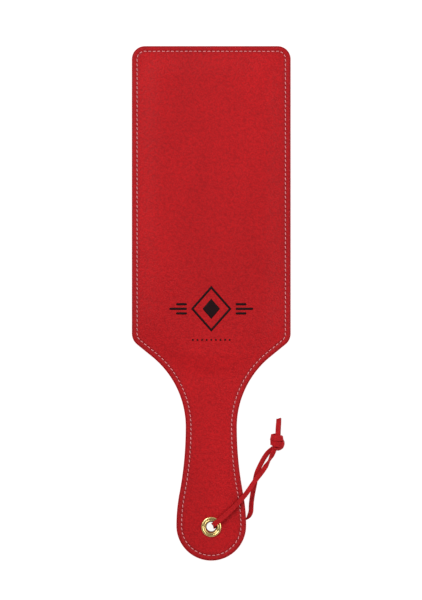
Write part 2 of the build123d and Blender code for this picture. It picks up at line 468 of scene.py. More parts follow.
def leather_material(name, base, deep, seed):
    """Fine-grained dyed leather: rounded pebbles and soft cloudiness, with painted shade darkening its
    creases and seam.
    """
    s = Shader(name, Specular_IOR_Level=0.13)
    s.warp(900.0, 0.00035)
    pebbles = s.pebbles(880.0)
    small = s.pebbles(1900.0)
    wrinkles = s.noise(420.0, 4.0, 0.6)
    clouds = s.noise(9.0 + seed, 2.5, 0.5, (1.5, 0.7, 1.0))
    blotches = s.noise(48.0, 3.0)
    tone = s.mix(s.spread(clouds, 0.35, 0.65, 0.0, 1.0), deep, base)
    tone = s.mix(s.spread(blotches, 0.35, 0.65, 0.0, 0.4), tone, deep)
    # Painted shade: the wrinkles' creases and the creases between the pebbles are darkened in the colour
    tone = s.mix(s.spread(wrinkles, 0.38, 0.62, 0.20, 0.0), tone, PAINTED_CREASE_SHADE)
    tone = s.mix(s.spread(pebbles, 0.10, 0.55, 0.22, 0.0), tone, PAINTED_CREASE_SHADE)
    # Painted shade near the edge: the rim, the seam's groove and its needle pits darkened from a per-vertex
    # attribute
    seam = s.add("ShaderNodeAttribute", attribute_name="painted_seam_shade").outputs["Fac"]
    s.colour(s.mix(seam, tone, PAINTED_CREASE_SHADE))
    s.roughness(s.spread(wrinkles, 0.3, 0.7, 0.42, 0.6))
    s.bump(s.weighted((pebbles, 0.55), (small, 0.2), (wrinkles, 0.5)), 0.00028, 0.8)
    return s.material


def edge_material():
    """Painted cut edge of the layers: a little darker than the face, with fine lines along it."""
    s = Shader("edge paint", Specular_IOR_Level=0.04)
    streaks = s.noise(900.0, 3.0, 0.6, (0.25, 0.25, 3.0))
    s.colour(s.ramp(streaks, [(0.25, (0.34, 0.0075, 0.0105)), (0.75, (0.48, 0.0105, 0.0140))]))
    s.roughness(s.spread(streaks, 0.3, 0.7, 0.55, 0.7))
    s.bump(streaks, 0.00006, 0.5)
    return s.material


def thread_material():
    """Waxed pale pink thread: fine fibres, and a little dirt in its lay."""
    s = Shader("thread", Roughness=0.55, Specular_IOR_Level=0.3)
    fibres = s.noise(5200.0, 2.0, 0.6)
    s.colour(s.ramp(fibres, [(0.25, (0.62, 0.17, 0.18)), (0.75, (0.95, 0.37, 0.39))]))
    s.bump(fibres, 0.00004, 0.6)
    return s.material


def brass_material(name, dark, light):
    """Polished brass with fine scratches and a little tarnish."""
    s = Shader(name, Metallic=1.0)
    scratches = s.noise(2600.0, 2.0, 0.6, (1.0, 3.0, 1.0))
    tarnish = s.noise(500.0, 3.0, 0.6)
    s.colour(s.ramp(tarnish, [(0.3, dark), (0.7, light)]))
    s.roughness(s.spread(scratches, 0.3, 0.7, 0.20, 0.32))
    s.bump(scratches, 0.000004, 0.3)
    return s.material


def lace_material():
    """Soft red leather lace: a fine nap, stretch wrinkles with painted shade in their creases, and a little
    wear.
    """
    s = Shader("lace leather", Specular_IOR_Level=0.10)
    nap = s.noise(4200.0, 4.0, 0.7)
    grain = s.pebbles(2600.0)
    wrinkles = s.noise(900.0, 3.0, 0.6)
    patches = s.noise(260.0, 3.0, 0.55)
    tone = s.mix(s.spread(patches, 0.3, 0.7, 0.0, 1.0), (0.33, 0.0065, 0.0090), (0.46, 0.0085, 0.0115))
    tone = s.mix(s.spread(nap, 0.40, 0.70, 0.0, 0.35), tone, (0.58, 0.014, 0.018))
    # Painted shade: the wrinkles' creases are darkened in the colour
    tone = s.mix(s.spread(wrinkles, 0.36, 0.6, 0.30, 0.0), tone, PAINTED_CREASE_SHADE)
    s.colour(tone)
    s.roughness(s.spread(nap, 0.3, 0.7, 0.62, 0.8))
    s.bump(s.weighted((nap, 0.4), (grain, 0.35), (wrinkles, 0.6)), 0.00030, 0.8)
    return s.material


def ink_material():
    """Matt black print, broken a little where the grain holds it off."""
    s = Shader("print ink", Roughness=0.62, Specular_IOR_Level=0.08)
    grain = s.noise(1500.0, 3.0, 0.6)
    black, worn, bare = (0.008, 0.002, 0.003), (0.016, 0.004, 0.005), (0.09, 0.005, 0.006)
    s.colour(s.ramp(grain, [(0.28, black), (0.66, worn), (0.8, bare)]))
    s.bump(grain, 0.00006, 0.5)
    return s.material


def foam_material():
    """Closed-cell foam: small pores in a pale grey sheet, their hollows darkened with painted shade."""
    s = Shader("foam", Roughness=0.9, Specular_IOR_Level=0.15)
    pores = s.cells(1400.0)
    # Painted shade: each pore is darker towards its hollow middle
    s.colour(s.ramp(pores, [(0.1, (0.34, 0.34, 0.32)), (0.5, (0.62, 0.62, 0.58))]))
    s.bump(pores, 0.0002, 0.7)
    return s.material


def board_material():
    """Grey-brown fibre board with a pressed, felted face."""
    s = Shader("fibre board", Roughness=0.85, Specular_IOR_Level=0.2)
    felt = s.noise(1800.0, 5.0, 0.7)
    flecks = s.noise(240.0, 4.0, 0.6, (1.0, 3.0, 1.0))
    tone = s.ramp(felt, [(0.3, (0.28, 0.20, 0.13)), (0.7, (0.46, 0.35, 0.24))])
    s.colour(s.mix(s.spread(flecks, 0.55, 0.7, 0.0, 0.5), tone, (0.20, 0.13, 0.08)))
    s.bump(felt, 0.0001, 0.6)
    return s.material


front_leather = leather_material("front leather", RED, DEEP_RED, 0.0)
back_leather = leather_material("back leather", RED, DEEP_RED, 3.0)
edge_paint = edge_material()
thread = thread_material()
brass = brass_material("brass", (0.72, 0.52, 0.17), (0.90, 0.71, 0.33))
# Near-black brass for the bore and the flange's groove: partly dirt, partly painted shade
brass_dirt_and_shade = brass_material("brass dirt and shade", (0.10, 0.07, 0.018), (0.18, 0.13, 0.04))
lace = lace_material()
ink = ink_material()
foam = foam_material()
fibre_board = board_material()

# ---- Camera: straight above the paddle, close to its middle ----

FRAME_HEIGHT = 0.4435
LENS = 135.0
SENSOR = 36.0
CAMERA_X = -0.0002
CAMERA_Y = 0.0025

camera_data = bpy.data.cameras.new("camera")
camera_data.lens = LENS
camera_data.sensor_width = SENSOR
camera_data.clip_end = 10.0
camera = new_object("camera", camera_data)
camera.location = (CAMERA_X, CAMERA_Y, CROWN_Z + FRAME_HEIGHT * LENS / SENSOR)
bpy.context.scene.camera = camera

# ---- Lace ----

LACE_WIDTH = 0.0036
LACE_THICKNESS = 0.00125
OFF_FLOOR = 0.00007
OFF_FLANGE = 0.00035
OFF_FACE = 0.0007
LACE_FLOOR = LACE_THICKNESS / 2 + OFF_FLOOR
OVER_FLANGE = flange_high.z + OFF_FLANGE + LACE_THICKNESS / 2
OVER_STITCHES = FACE_Z + OFF_FACE + LACE_THICKNESS / 2
LACE_SEAT = 0.002
FRONT_HEADING = math.radians(41.0)
BACK_HEADING = math.radians(8.0)


def around_eyelet(radius, heading, height):
    """A place at a distance from the eyelet's axis, in a direction."""
    return (EYELET.x + radius * math.cos(heading), EYELET.y + radius * math.sin(heading), height)


FRONT_ROUTE = [
    around_eyelet(LACE_SEAT, FRONT_HEADING, MIDDLE_Z),
    around_eyelet(LACE_SEAT, FRONT_HEADING, OVER_FLANGE),
    around_eyelet(0.0062, FRONT_HEADING + math.radians(1.0), OVER_FLANGE),
    (0.0099, -0.1573, OVER_FLANGE - 0.0002),
    (0.0169, -0.1508, OVER_STITCHES + 0.0001),
    (0.0234, -0.1438, OVER_STITCHES),
    (0.0272, -0.1389, OVER_STITCHES - 0.0006),
    (0.0302, -0.1347, 0.0046),
    (0.0332, -0.1306, 0.0027),
    (0.0376, -0.1252, 0.0026),
    (0.0415, -0.1194, 0.0022),
    (0.0448, -0.1133, 0.0028),
    (0.0466, -0.1088, 0.0037),
    (0.0476, -0.1064, 0.0042),
]
BACK_ROUTE = [
    around_eyelet(LACE_SEAT, BACK_HEADING, MIDDLE_Z),
    around_eyelet(LACE_SEAT, BACK_HEADING, LACE_FLOOR),
    (0.0082, -0.1642, LACE_FLOOR),
    (0.0186, -0.1630, LACE_FLOOR),
    (0.0264, -0.1606, LACE_FLOOR),
    (0.0296, -0.1556, LACE_FLOOR),
    (0.0296, -0.1494, LACE_FLOOR),
    (0.0308, -0.1409, LACE_FLOOR),
    (0.0324, -0.1339, LACE_FLOOR),
    (0.0332, -0.1272, LACE_FLOOR),
    (0.0361, -0.1206, LACE_FLOOR),
    (0.0394, -0.1144, LACE_FLOOR),
    (0.0428, -0.1098, 0.0010),
    (0.0458, -0.1070, 0.0016),
]
FRONT_TAIL_ROUTE = [
    (0.0492, -0.0986, 0.0044),
    (0.0493, -0.0932, 0.0032),
    (0.0498, -0.0886, 0.0020),
    (0.0500, -0.0854, 0.0019),
]
BACK_TAIL_ROUTE = [
    (0.0498, -0.0986, 0.0022),
    (0.0500, -0.0934, 0.0008),
    (0.0503, -0.0890, LACE_FLOOR),
    (0.0504, -0.0859, LACE_FLOOR),
]


ROUTE_STEPS = 14
ROUTE_MERGE = 1e-6


def route_line(name, route):
    """Points along a route's NURBS spline."""
    curve = bpy.data.curves.new(name, "CURVE")
    curve.dimensions = "3D"
    curve.resolution_u = ROUTE_STEPS
    spline = curve.splines.new("NURBS")
    spline.points.add(len(route) - 1)
    for point, place in zip(spline.points, route):
        point.co = (*place, 1.0)
    spline.order_u = 3
    spline.use_endpoint_u = True
    holder = bpy.data.objects.new(name, curve)
    mesh = bpy.data.meshes.new_from_object(holder)
    points = [v.co.copy() for v in mesh.vertices]
    bpy.data.objects.remove(holder)
    bpy.data.meshes.remove(mesh)
    bpy.data.curves.remove(curve)
    kept = [points[0]]
    for point in points[1:]:
        if (point - kept[-1]).length > ROUTE_MERGE:
            kept.append(point)
    return kept


SECTION_SHARES = (-0.97, -0.9, -0.7, -0.35, 0.0, 0.35, 0.7, 0.9, 0.97)
SECTION_DISH = 0.10
CORNER_SHARE = 0.95
CORNER_HEIGHT = 0.80
RIM_HEIGHT = 0.35


def strip_section(width, thickness):
    """A flat strip's section: slightly dished faces and soft cut edges."""
    half, deep = width / 2, thickness / 2
    side = []
    for share in SECTION_SHARES:
        height = 1 - SECTION_DISH * (1 - share * share)
        if abs(share) > CORNER_SHARE:
            height = CORNER_HEIGHT
        side.append((half * share, deep * height))
    rim = [(half, deep * RIM_HEIGHT), (half, -deep * RIM_HEIGHT)]
    lower = [(x, -y) for x, y in reversed(side)]
    left = [(-x, -y) for x, y in rim]
    return side + rim + lower + left


LEVEL_LIMIT = 0.8
LEVEL_EASE = 0.12
WEAR, WEAR_WAVES = 0.02, 900
RIPPLE, RIPPLE_WAVES, RIPPLE_WAVES_ALONG = 0.00003, 700, 500


def strip_side(side, run, previous):
    """The strip's width direction at the next point: carried along the line, and eased towards level."""
    if previous is None:
        return side
    side = previous.rotation_difference(run) @ side
    level = Vector((0, 0, 1)).cross(run)
    if level.length > LEVEL_LIMIT:
        level = level if level.dot(side) > 0 else -level
        side = side.lerp(level.normalized(), LEVEL_EASE)
    return side


def swept(name, line, across, width, thickness, shape=None, slant=0.0, facing=None):
    """A strip swept along a line. shape(share) gives a width factor, a thickness factor and a roll.
    facing(point) is the way that its flat side looks; without it the strip lies as flat as it can."""
    count = len(line)
    lengths = [0.0]
    for a, b in zip(line, line[1:]):
        lengths.append(lengths[-1] + (b - a).length)
    total = lengths[-1]
    vertices, faces = [], []
    side = Vector(across).normalized()
    section_size = len(strip_section(width, thickness))
    previous = None
    for index, point in enumerate(line):
        run = (line[min(index + 1, count - 1)] - line[max(index - 1, 0)]).normalized()
        side = run.cross(-facing(point)) if facing else strip_side(side, run, previous)
        side = (side - run * side.dot(run)).normalized()
        previous = run
        wide, thick, roll = shape(lengths[index] / total) if shape else (1.0, 1.0, 0.0)
        turned = side * math.cos(roll) + run.cross(side) * math.sin(roll)
        up = run.cross(turned)
        wear = 1.0 + WEAR * noise.noise(point * WEAR_WAVES)
        for x, y in strip_section(width * wide * wear, thickness * thick):
            spot = Vector((x * RIPPLE_WAVES, y * RIPPLE_WAVES, lengths[index] * RIPPLE_WAVES_ALONG))
            ripple = RIPPLE * noise.noise(spot)
            lean = run * (slant * x if index == count - 1 else 0.0)
            vertices.append(point + turned * x + up * (y + ripple) + lean)
    for index in range(count - 1):
        faces += ring_faces(index * section_size, (index + 1) * section_size, section_size)
    faces.append(tuple(range(section_size)))
    last = (count - 1) * section_size
    faces.append(tuple(last + i for i in reversed(range(section_size))))
    return new_piece(name, vertices, faces, lace, "lace"), total


# Where along a leg it changes shape, as shares of its length, and by how much
FLANGE_SHARE, EYE_SHARE, FRONT_REACH = 0.10, 0.855, 0.06
FLANGE_WIDENING = 0.10
EYE_ROLL = math.radians(70)
POMMEL_SHARE, KNOT_SHARE, BACK_REACH = 0.305, 1.0, 0.040
POMMEL_NARROWING, POMMEL_THICKENING = 0.70, 0.2
KNOT_NARROWING = 0.30


def front_shape(share):
    """The front leg: wide over the eyelet, and turned on its edge beside the loop's eye."""
    over_flange = bell(share - FLANGE_SHARE, FRONT_REACH)
    beside_eye = bell(share - EYE_SHARE, FRONT_REACH)
    return 1.0 + FLANGE_WIDENING * over_flange, 1.0, EYE_ROLL * beside_eye


def back_shape(share):
    """The back leg: folded narrow where it comes out from under the pommel, and narrow at the knot."""
    tight = bell(share - POMMEL_SHARE, BACK_REACH)
    at_knot = bell(share - KNOT_SHARE, BACK_REACH)
    return 1.0 - POMMEL_NARROWING * tight - KNOT_NARROWING * at_knot, 1.0 + POMMEL_THICKENING * tight, 0.0


def leg(name, route, heading, shape):
    """A leg of the lace, its line and its length."""
    line = route_line(name + " route", route)
    across = (-math.sin(heading), math.cos(heading), 0)
    piece, length = swept(name, line, across, LACE_WIDTH, LACE_THICKNESS, shape)
    return piece, line, length


front_leg, front_line, front_length = leg("lace_front", FRONT_ROUTE, FRONT_HEADING, front_shape)
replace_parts(front_leg, "lace_front_leg")
back_leg, back_line, back_length = leg("lace_back", BACK_ROUTE, BACK_HEADING, back_shape)
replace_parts(back_leg, "lace_back_leg")

CUT_SLANT = 0.42
TAIL_WIDTH = LACE_WIDTH * 0.94
for name, node, route in (
    ("lace_tail_front", "lace_front_tail", FRONT_TAIL_ROUTE),
    ("lace_tail_back", "lace_back_tail", BACK_TAIL_ROUTE),
):
    tail_line = route_line(name + " route", route)
    tail = swept(name, tail_line, (1, 0, 0), TAIL_WIDTH, LACE_THICKNESS, slant=CUT_SLANT)[0]
    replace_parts(tail, node)

# ---- Knot ----

knot_low, knot_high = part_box("lace_knot")
KNOT_MIDDLE = (knot_low + knot_high) / 2

# The strand that winds round the knot: its loop's half sizes, and its level above the knot's middle
WRAP_WIDTH, WRAP_THICKNESS = 0.0050, 0.0015
WRAP_HALF_X = 0.0042
WRAP_HALF_Z = 0.00255
WRAP_X = 0.0003
WRAP_START = math.radians(255)
WRAP_TURNS = 2.0
WRAP_STEPS = 110
WRAP_LEVEL = 0.0034
WRAP_PITCH = 0.0043
LEVEL_TURNS = 0.458  # it passes its level after this many turns
LEVEL_LEAD = 0.2  # and starts down this many turns before that
TILT = 0.0006
UPPER_TILT, LOWER_TILT, UPPER_TURNS = 1.0, -0.8, 0.95
TUCK, TUCK_REACH = 0.45, 0.14
SIDE_NARROWING = 0.16


def wrap_line():
    """The line of the strand that winds twice round the knot, from the top to the middle."""
    line = []
    for index in range(WRAP_STEPS + 1):
        turned = index / WRAP_STEPS * WRAP_TURNS
        angle = WRAP_START - turned * 2 * math.pi
        front = 0.5 + 0.5 * math.sin(angle)
        level = WRAP_LEVEL - WRAP_PITCH * max(turned - LEVEL_TURNS, -LEVEL_LEAD)
        tilt = TILT * (UPPER_TILT if turned < UPPER_TURNS else LOWER_TILT) * front
        tuck = 1.0 - TUCK * bell(turned, TUCK_REACH) - TUCK * bell(turned - WRAP_TURNS, TUCK_REACH)
        x = WRAP_X + WRAP_HALF_X * tuck * math.cos(angle)
        z = WRAP_HALF_Z * tuck * math.sin(angle)
        line.append(KNOT_MIDDLE + Vector((x, level + tilt * math.cos(angle), z)))
    return line


def wrap_shape(share):
    """Flat and wide in front and behind, narrower where it turns at the sides."""
    angle = WRAP_START - share * WRAP_TURNS * 2 * math.pi
    return 1.0 - SIDE_NARROWING * math.cos(angle) ** 2, 1.0, 0.0


UPPER_LEAN, LOWER_LEAN, LEAN_START = 0.30, -0.05, 0.6
UPPER_WRAP_Y = 0.001
LOWER_DEPTH = 0.0015


def away(point):
    """Outwards from the knot's middle line. In front, the upper wrap leans up and the lower one down."""
    out = point - KNOT_MIDDLE
    in_front = min(max(out.z / WRAP_HALF_Z + LEAN_START, 0.0), 1.0)
    lean = (UPPER_LEAN if out.y > UPPER_WRAP_Y else LOWER_LEAN) * in_front
    return Vector((out.x / WRAP_HALF_X, lean, out.z / WRAP_HALF_Z)).normalized()


def away_all_round(point):
    """Outwards from a place a little below the knot's middle."""
    return (point - KNOT_MIDDLE + Vector((0, 0, LOWER_DEPTH))).normalized()


# Places on the lowest strand, from the knot's middle
LOWER_STRAND = [
    (0.0028, 0.0032, -0.0010),
    (0.0046, 0.0018, 0.0000),
    (0.0050, -0.0008, 0.0008),
    (0.0042, -0.0030, 0.0014),
    (0.0024, -0.0046, 0.0012),
    (0.0002, -0.0052, 0.0006),
    (-0.0018, -0.0046, -0.0008),
]
LOWER_THICKNESS = 0.0014
CORE_HALF = Vector((0.0037, 0.0050, 0.0022))
CORE_RINGS, CORE_AROUND = 14, 28
CORE_LUMPS, CORE_WAVES = 0.04, 700


def knot_core():
    """The strands inside the knot, as one rounded body that the wraps are pulled round."""
    around = CORE_AROUND
    vertices, faces = [KNOT_MIDDLE + Vector((0, -CORE_HALF.y, 0))], []
    for ring in range(1, CORE_RINGS):
        angle = math.pi * ring / CORE_RINGS
        for k in range(around):
            turn = 2 * math.pi * k / around
            spread = math.sin(angle)
            unit = Vector((spread * math.cos(turn), -math.cos(angle), spread * math.sin(turn)))
            place = unit * CORE_HALF
            vertices.append(KNOT_MIDDLE + place * (1 + CORE_LUMPS * noise.noise(place * CORE_WAVES)))
    vertices.append(KNOT_MIDDLE + Vector((0, CORE_HALF.y, 0)))
    last = 1 + (CORE_RINGS - 2) * around
    faces += [(0, 1 + k, 1 + (k + 1) % around) for k in range(around)]
    for start in range(1, last, around):
        faces += ring_faces(start + around, start, around)
    faces += [(len(vertices) - 1, last + (k + 1) % around, last + k) for k in range(around)]
    return new_piece("lace_knot_core", vertices, faces, lace, "lace")


UP = (0, 1, 0)
knot, _ = swept("lace_knot_wraps", wrap_line(), UP, WRAP_WIDTH, WRAP_THICKNESS, wrap_shape, facing=away)
lower_line = route_line("lower strand", [KNOT_MIDDLE + Vector(place) for place in LOWER_STRAND])
knot_lower, _ = swept("lace_knot_lower", lower_line, UP, LACE_WIDTH, LOWER_THICKNESS, facing=away_all_round)
core = knot_core()
for piece in (knot, knot_lower, core):
    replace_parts(piece, "lace_knot")

# ---- Covers ----

RIM_INSETS = (
    [COAT, 0.00062, 0.0008, 0.0011, 0.0016, 0.0021, 0.0026]
    + [SEAM_INSET + step for step in (-0.0007, -0.0004, -0.0002, 0.0, 0.0002, 0.0004, 0.0007)]
    + [0.0052, 0.0060, 0.0070, 0.0082]
)
LIFT_INSET = 0.006  # the unevenness is full from here inwards
GRID = 0.0024
TOP_CLEAR = GRID * 0.6
UNDER_GRID, UNDER_CLEAR = GRID * 2, GRID * 1.2
HOLE_RADIUS = 0.00395
HOLE_POINTS = 48
SINK, SINK_RADIUS, SINK_REACH = 0.00025, 0.0066, 0.0022


def cover_border(seed):
    """The border's points, one ring of them for each inset, and the painted shade at each."""
    vertices, shades = [], []
    for inset in RIM_INSETS:
        for index, (point, inward, _) in enumerate(STATIONS):
            phase = ((index + STITCH_SAMPLES / 2) % STITCH_SAMPLES - STITCH_SAMPLES / 2) / STITCH_SAMPLES
            place = point + inward * (inset - SEAM_INSET)
            height = FACE_Z + border(inset, phase) + crown(place.x, place.y)
            height += leather_lift(place.x, place.y, seed) * min(inset / LIFT_INSET, 1)
            vertices.append(Vector((place.x, place.y, height)))
            shades.append(painted_seam_shade(inset, phase))
    return vertices, shades


def face_height(point, seed):
    """The face's height inside the border. The eyelet's flange presses it down a little."""
    height = FACE_Z + crown(point.x, point.y) + leather_lift(point.x, point.y, seed)
    return height - SINK * bell((point - EYELET.to_2d()).length - SINK_RADIUS, SINK_REACH)


def lining_height(point):
    """The underside's height: below the face by the leather's thickness."""
    return FACE_Z - LEATHER + crown(point.x, point.y)


def fill_in(vertices, loops, spacing, clear, height, known=None):
    """Adds a filling to the vertices. Gives its faces, and the vertices made from the loops' points.
    known is where the first loop's points start in the vertices, if they are there already."""
    points, triangles, sources = filled(loops, spacing, clear)
    numbers, made = [], {}
    for point, source in zip(points, sources):
        if known is not None and source and source[0] < len(loops[0]):
            numbers.append(known + source[0])
            continue
        if source:
            made[source[0]] = len(vertices)
        numbers.append(len(vertices))
        vertices.append(Vector((point.x, point.y, height(point))))
    return [tuple(numbers[i] for i in face) for face in triangles], made


def cover(name, side, seed, material):
    """One leather cover: a finely modelled border round a filled middle, closed underneath.
    side is 1 for the front and -1 for the back, which is its mirror image in the middle plane."""
    count, rings = len(STATIONS), len(RIM_INSETS)
    vertices, shades = cover_border(seed)
    faces = []
    for ring in range(rings - 1):
        faces += ring_faces(ring * count, (ring + 1) * count, count)
    outer = [v.to_2d() for v in vertices[:count]]
    inner_start = (rings - 1) * count
    inner = [v.to_2d() for v in vertices[inner_start:]]
    hole = circle(EYELET.to_2d(), HOLE_RADIUS, HOLE_POINTS)
    top, above = fill_in(
        vertices, [inner, hole], GRID, TOP_CLEAR, lambda point: face_height(point, seed), inner_start
    )
    under, below = fill_in(vertices, [outer, hole], UNDER_GRID, UNDER_CLEAR, lining_height)
    faces += top + [tuple(reversed(face)) for face in under]
    faces += [(below[i], below[(i + 1) % count], (i + 1) % count, i) for i in range(count)]
    for i in range(HOLE_POINTS):
        a, b = count + i, count + (i + 1) % HOLE_POINTS
        faces.append((above[a], above[b], below[b], below[a]))
    if side < 0:
        vertices, faces = mirrored(vertices, faces)
    piece = new_piece(name, vertices, faces, material, "paddle")
    # The painted shade near the edge, kept per vertex for the leather's colour
    shade = piece.data.attributes.new("painted_seam_shade", "FLOAT", "POINT")
    shade.data.foreach_set("value", shades + [0.0] * (len(vertices) - len(shades)))
    return piece


for name, node, side, seed, material in (
    ("cover_front", "front_cover", 1, FRONT_SEED, front_leather),
    ("cover_back", "back_cover", -1, BACK_SEED, back_leather),
):
    piece = cover(name, side, seed, material)
    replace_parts(piece, node)

# ---- Padding ----

PAD_GAP = 0.0007  # how far the pad stays inside the place where its cover starts to rise
PAD_FOOT_GAP = 0.0015
PAD_FOOT_HALF = 0.022
PAD_CORNER, PAD_CORNER_STEPS = 0.004, 6
PAD_UNDER_COVER = 0.0001
PAD_TOP_OFF_BOARD, PAD_FOOT_OFF_BOARD = 0.00002, 0.00001
PAD_SIDE_STEP = 0.003
PAD_GRID, PAD_CLEAR = GRID * 1.2, GRID * 0.7


def pad(name, side):
    """A thin foam pad with an eased edge, filling the space under a cover."""
    half, top, foot = PAD_HALF_WIDTH - PAD_GAP, PAD_TOP - PAD_GAP, PAD_FOOT_Y + PAD_FOOT_GAP
    shape = [
        (half, top),
        (-half, top),
        (-half, PAD_SHOULDER_Y),
        (-PAD_FOOT_HALF, foot),
        (PAD_FOOT_HALF, foot),
        (half, PAD_SHOULDER_Y),
    ]
    rise = CROWN_Z - FACE_Z
    share = (rise - PAD_UNDER_COVER) / rise
    vertices, faces = slab(
        [rounded(shape, PAD_CORNER, PAD_CORNER_STEPS)],
        PAD_GRID,
        PAD_CLEAR,
        lambda p: board_high.z + PAD_TOP_OFF_BOARD + crown(p.x, p.y) * share,
        lambda p: board_high.z + PAD_FOOT_OFF_BOARD,
    )
    if side < 0:
        vertices, faces = mirrored(vertices, faces)
    piece = new_piece(name, vertices, faces, foam, "paddle")
    return piece


def rounded(corners, radius, steps):
    """A closed outline with its corners rounded, and its long sides divided."""
    loop = []
    corners = [Vector(c) for c in corners]
    for before, corner, after in zip(corners[-1:] + corners[:-1], corners, corners[1:] + corners[:1]):
        start = corner + (before - corner).normalized() * radius
        end = corner + (after - corner).normalized() * radius
        for step in range(steps + 1):
            t = step / steps
            loop.append(start.lerp(corner, t).lerp(corner.lerp(end, t), t))
    made = []
    for a, b in zip(loop, loop[1:] + loop[:1]):
        pieces = max(1, round((b - a).length / PAD_SIDE_STEP))
        made += [a.lerp(b, i / pieces) for i in range(pieces)]
    return made


for name, node, side in (("pad_front", "front_pad", 1), ("pad_back", "back_pad", -1)):
    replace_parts(pad(name, side), node)

# ---- Painted edge ----

# The rim's section from the leather outwards: inset from the outline, and drop from the face
EDGE_RIM = [
    (0.00052, 0.00030),
    (0.00046, 0.00012),
    (0.00034, 0.00006),
    (0.00020, 0.00014),
    (0.00008, 0.00034),
    (0.00002, 0.00060),
    (0.00002, 0.00090),
    (0.00009, 0.00110),
    (0.00002, 0.00130),
    (0.0, 0.00180),
]


def edge_ring():
    """The painted cut edge: rounded rims, and the layers' joints showing as faint grooves."""
    half = MIDDLE_Z - BACK_Z
    profile = [(inset, half - drop) for inset, drop in EDGE_RIM] + [(0.0, 0.0)]
    profile += [(inset, drop - half) for inset, drop in reversed(EDGE_RIM)]
    count = len(STATIONS)
    vertices, faces = [], []
    for inset, height in profile:
        for point, inward, _ in STATIONS:
            place = point + inward * (inset - SEAM_INSET)
            vertices.append(Vector((place.x, place.y, MIDDLE_Z + height)))
    rings = len(profile)
    for ring in range(rings):
        faces += ring_faces(((ring + 1) % rings) * count, ring * count, count)
    return new_piece("edge_painted", vertices, faces, edge_paint, "paddle")


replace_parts(edge_ring(), "edge_coat")

# ---- Stitching ----

THREAD_AROUND, THREAD_STEPS = 9, 12
THREAD_SEAT = 0.00014
THREAD_FLATTENING = 0.8
STITCH_DROP = 0.00052
STITCH_TAPER = 0.25
STITCH_LEAN = 0.20
PLIES, PLY_DEPTH, TWIST = 3, 0.13, 3300
LEAN_JITTER, HEIGHT_JITTER = 0.05, 0.00003


def stitch(point, inward, run, jitter):
    """The rings of points along one stitch, a short twisted thread that dips in at both ends."""
    lean = STITCH_LEAN * run.y**2 + LEAN_JITTER * jitter
    points = []
    for step in range(THREAD_STEPS + 1):
        t = 2 * step / THREAD_STEPS - 1
        along = t * STITCH_LENGTH / 2
        top = FACE_Z - THREAD_SEAT - STITCH_DROP * t**4 + HEIGHT_JITTER * jitter
        centre = point + run * along + inward * (along * lean)
        thin = 1.0 - STITCH_TAPER * abs(t) ** 3
        for k in range(THREAD_AROUND):
            angle = 2 * math.pi * k / THREAD_AROUND
            ply = 1.0 + PLY_DEPTH * math.cos(PLIES * (angle - along * TWIST))
            radius = THREAD_RADIUS * ply * thin
            spot = centre + inward * (math.cos(angle) * radius)
            points.append(Vector((spot.x, spot.y, top + math.sin(angle) * radius * THREAD_FLATTENING)))
    return points


def seam(name, side):
    """Every stitch of a seam. side is 1 for the front and -1 for the back."""
    vertices, faces = [], []
    for number in range(STITCHES):
        point, inward, run = STATIONS[number * STITCH_SAMPLES + STITCH_SAMPLES // 2]
        jitter = noise.noise(Vector((number * 0.7, side * 5.0, 0.3)))
        base = len(vertices)
        vertices += stitch(point, inward, run, jitter)
        end = base + THREAD_STEPS * THREAD_AROUND
        for start in range(base, end, THREAD_AROUND):
            faces += ring_faces(start + THREAD_AROUND, start, THREAD_AROUND)
        faces.append(tuple(range(base, base + THREAD_AROUND)))
        faces.append(tuple(reversed(range(end, end + THREAD_AROUND))))
    if side < 0:
        vertices, faces = mirrored(vertices, faces)
    return new_piece(name, vertices, faces, thread, "paddle")


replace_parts(seam("seam_front", 1), "front_stitches")
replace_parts(seam("seam_back", -1), "back_stitches")

# ---- Eyelet ----


LATHE_STEPS = 96


def lathe(name, profile):
    """A closed profile of (radius, height) points, turned about the eyelet's axis."""
    vertices, faces = [], []
    for radius, height in profile:
        vertices += [(point.x, point.y, height) for point in circle(EYELET, radius, LATHE_STEPS)]
    rings = len(profile)
    for ring in range(rings):
        faces += ring_faces(ring * LATHE_STEPS, ((ring + 1) % rings) * LATHE_STEPS, LATHE_STEPS)
    return new_piece(name, vertices, faces, brass, "paddle")


def arc(center, radius, start, end, steps, flat=1.0):
    """Points on an arc in a plane, angles in degrees from its first axis to its second."""
    made = []
    for i in range(steps + 1):
        a = math.radians(start + (end - start) * i / steps)
        made.append((center[0] + radius * math.cos(a), center[1] + radius * flat * math.sin(a)))
    return made


BORE = 0.0035
# The bore and the groove round the flange take a near-black brass, partly dirt and partly painted shade:
# their reach from the eyelet's axis
SHADE_BORE_REACH, SHADE_BORE_RISE = 0.00445, 0.00045
GROOVE_INSIDE, GROOVE_OUTSIDE = 0.00545, 0.00570
# The section: up the bore, over the inner crest, the groove and the outer crest, and down to the washer
flange_profile = (
    [(BORE, FACE_Z - 0.0014), (0.0037, FACE_Z - 0.0008), (0.0040, FACE_Z - 0.0003)]
    + arc((0.00496, FACE_Z + 0.00024), 0.00062, 180, 20, 12, 0.98)
    + [(0.00556, FACE_Z + 0.00030)]
    + arc((0.0065, FACE_Z + 0.00010), 0.00098, 155, 0, 14, 0.84)
    + [(0.00744, FACE_Z - 0.00005), (0.0073, FACE_Z - 0.00012), (0.0039, FACE_Z - 0.00012)]
    + [(0.0039, washer_low.z + 0.0002)]
    + arc((0.0042, washer_low.z - 0.00004), 0.00062, 20, -150, 10, 0.42)
    + [(BORE, BACK_Z + 0.0003)]
)
rolled = lathe("eyelet_rolled", flange_profile)
rolled.data.materials.append(brass_dirt_and_shade)
